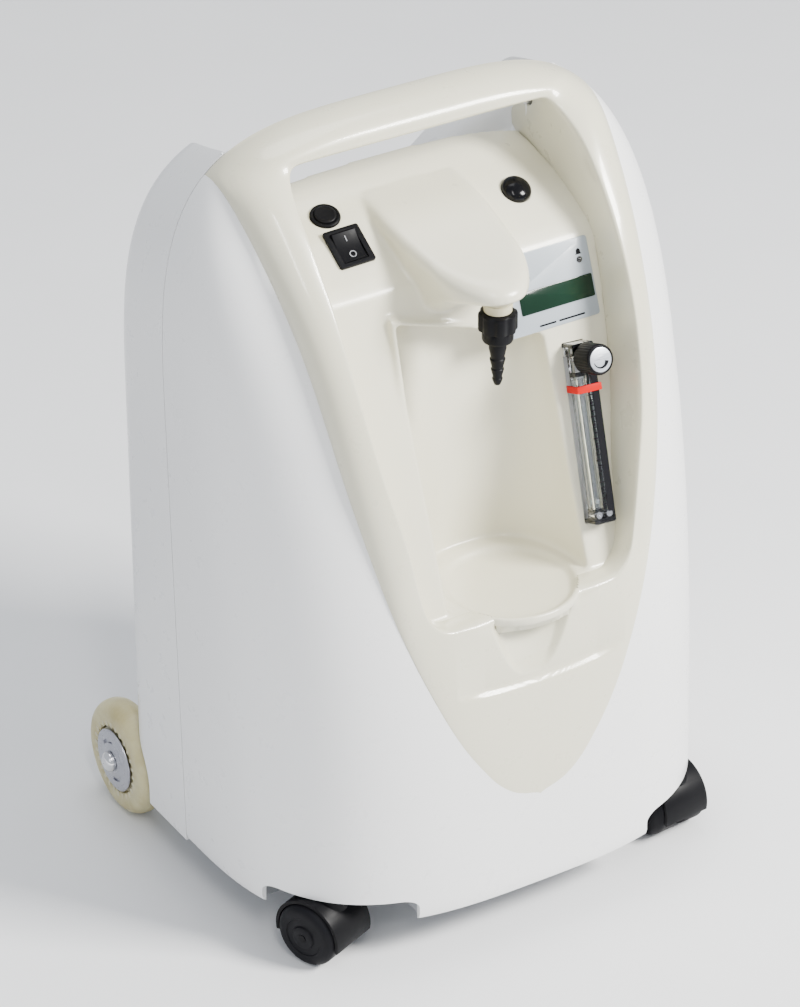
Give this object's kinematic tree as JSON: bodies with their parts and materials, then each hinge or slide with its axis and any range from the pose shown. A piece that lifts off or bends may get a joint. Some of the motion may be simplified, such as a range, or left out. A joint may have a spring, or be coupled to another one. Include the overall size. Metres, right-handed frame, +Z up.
{
  "type": "oxygen concentrator",
  "caption": "Upright home oxygen concentrator: glossy white cabinet, cream loop handle and control face, flowmeter, hose outlet, twin-wheel casters in front and large wheels behind.",
  "frame": {"origin": "centre of the bounding box's footprint, on the floor", "axes": "+Z up, the control face looks along -Y, +X to the right as the control face is seen"},
  "size_m": [0.4136, 0.34, 0.6011],
  "materials": {
    "shell": "gloss white moulded plastic",
    "pearl": "pearl cream lacquer, gloss",
    "panel": "pearl cream lacquer, satin gloss",
    "tray": "grey moulded plastic",
    "label": "blue-grey printed film",
    "lcd": "dark green display window",
    "lamp": "unlit lamp lens",
    "black": "black moulded plastic",
    "black_gloss": "gloss black plastic",
    "black_wheel": "black caster tread",
    "red": "red clip",
    "acrylic": "clear acrylic",
    "steel": "plain steel",
    "silver": "silver plate",
    "chrome": "domed chrome bolt",
    "tyre": "translucent yellowed polyurethane",
    "rubber": "black rubber",
    "nylon": "cream nylon",
    "alloy": "cast and drawn aluminium",
    "foam": "open-cell filter foam",
    "grille": "light grey plastic",
    "board": "green circuit board",
    "hose": "silicone hose",
    "copper": "copper tube",
    "tank": "white plastic tank"
  },
  "bodies": {
    "cabinet": {"front_shell": "shell", "rear_shell": "shell", "handle_bezel": "pearl", "control_panel": "panel", "base_tray": "tray", "label_panel": "label", "lcd_window": "lcd", "status_led": "lamp", "rocker_frame": "black", "reset_collar": "black", "flowmeter_body": "acrylic", "flowmeter_scale": "black", "flow_limit_band": "red", "outlet_port": "nylon", "rear_axle": "steel", "rear_bolt_l": "chrome", "rear_bolt_r": "chrome", "filter_foam": "foam", "exhaust_grille": "grille", "power_inlet": "black", "compressor_motor": "alloy", "isolation_mount_1": "rubber", "isolation_mount_2": "rubber", "isolation_mount_3": "rubber", "isolation_mount_4": "rubber", "fan_frame": "black", "sieve_bed_l": "alloy", "sieve_bed_r": "alloy", "valve_block": "alloy", "product_tank": "tank", "control_board": "board", "cooling_coil": "copper", "product_hose": "hose"},
    "rocker": {"rocker_button": "black_gloss"},
    "reset": {"reset_button": "black"},
    "cap": {"round_cap": "black_gloss"},
    "float": {"flowmeter_float": "steel"},
    "knob": {"flowmeter_knob": "black", "knob_disc": "silver"},
    "outlet_fitting": {"outlet_nut": "black", "outlet_barb": "black"},
    "caster_l": {"caster_stem_l": "steel", "caster_hood_l": "black", "caster_axle_l": "steel"},
    "wheel_la": {"caster_wheel_la": "black_wheel"},
    "wheel_lb": {"caster_wheel_lb": "black_wheel"},
    "caster_r": {"caster_stem_r": "steel", "caster_hood_r": "black", "caster_axle_r": "steel"},
    "wheel_ra": {"caster_wheel_ra": "black_wheel"},
    "wheel_rb": {"caster_wheel_rb": "black_wheel"},
    "rear_wheel_l": {"rear_tyre_l": "tyre", "rear_hub_l": "nylon", "rear_cap_l": "silver"},
    "rear_wheel_r": {"rear_tyre_r": "tyre", "rear_hub_r": "nylon", "rear_cap_r": "silver"},
    "fan": {"fan_rotor": "black"},
    "cover": {"filter_cover": "shell"}
  },
  "joints": [
    {"name": "rocker_hinge", "type": "hinge", "parent": "cabinet", "child": "rocker", "pos_m": [-0.06896, -0.0194, 0.51453], "axis": [0.9992, -0.0215, 0.035], "range_deg": [-14, 0]},
    {"name": "reset_press", "type": "slide", "parent": "cabinet", "child": "reset", "axis": [-0.0918, -0.3564, 0.9298], "range_m": [-0.002, 0], "stiffness_N_per_m": 500},
    {"name": "cap_pull", "type": "slide", "parent": "cabinet", "child": "cap", "axis": [0.0614, -0.4758, 0.8774], "range_m": [0, 0.02]},
    {"name": "float_rise", "type": "slide", "parent": "cabinet", "child": "float", "axis": [0.0616, 0.3554, 0.9327], "range_m": [0, 0.085]},
    {"name": "knob_turn", "type": "hinge", "parent": "cabinet", "child": "knob", "pos_m": [0.08138, -0.08181, 0.41324], "axis": [0, -0.9345, 0.356], "range_deg": [0, 900]},
    {"name": "nut_turn", "type": "hinge", "parent": "cabinet", "child": "outlet_fitting", "pos_m": [0, -0.105, 0.47], "axis": [0, 0, -1], "range_deg": [0, 720]},
    {"name": "swivel_l", "type": "hinge", "parent": "cabinet", "child": "caster_l", "pos_m": [-0.15, -0.122, 0.055], "axis": [0, 0, 1], "continuous": true},
    {"name": "spin_la", "type": "hinge", "parent": "caster_l", "child": "wheel_la", "pos_m": [-0.15337, -0.11366, 0.025], "axis": [0.9272, 0.3746, 0], "continuous": true},
    {"name": "spin_lb", "type": "hinge", "parent": "caster_l", "child": "wheel_lb", "pos_m": [-0.15337, -0.11366, 0.025], "axis": [0.9272, 0.3746, 0], "continuous": true},
    {"name": "rear_spin_l", "type": "hinge", "parent": "cabinet", "child": "rear_wheel_l", "pos_m": [-0.185, 0.124, 0.046], "axis": [1, 0, 0], "continuous": true},
    {"name": "swivel_r", "type": "hinge", "parent": "cabinet", "child": "caster_r", "pos_m": [0.15, -0.122, 0.055], "axis": [0, 0, 1], "continuous": true},
    {"name": "spin_ra", "type": "hinge", "parent": "caster_r", "child": "wheel_ra", "pos_m": [0.14914, -0.11304, 0.025], "axis": [0.9954, 0.0958, 0], "continuous": true},
    {"name": "spin_rb", "type": "hinge", "parent": "caster_r", "child": "wheel_rb", "pos_m": [0.14914, -0.11304, 0.025], "axis": [0.9954, 0.0958, 0], "continuous": true},
    {"name": "rear_spin_r", "type": "hinge", "parent": "cabinet", "child": "rear_wheel_r", "pos_m": [0.185, 0.124, 0.046], "axis": [1, 0, 0], "continuous": true},
    {"name": "fan_spin", "type": "hinge", "parent": "cabinet", "child": "fan", "pos_m": [0, 0.0725, 0.118], "axis": [0, 1, 0], "continuous": true},
    {"name": "cover_pull", "type": "slide", "parent": "cabinet", "child": "cover", "axis": [0, 1, 0], "range_m": [0, 0.03]}
  ]
}
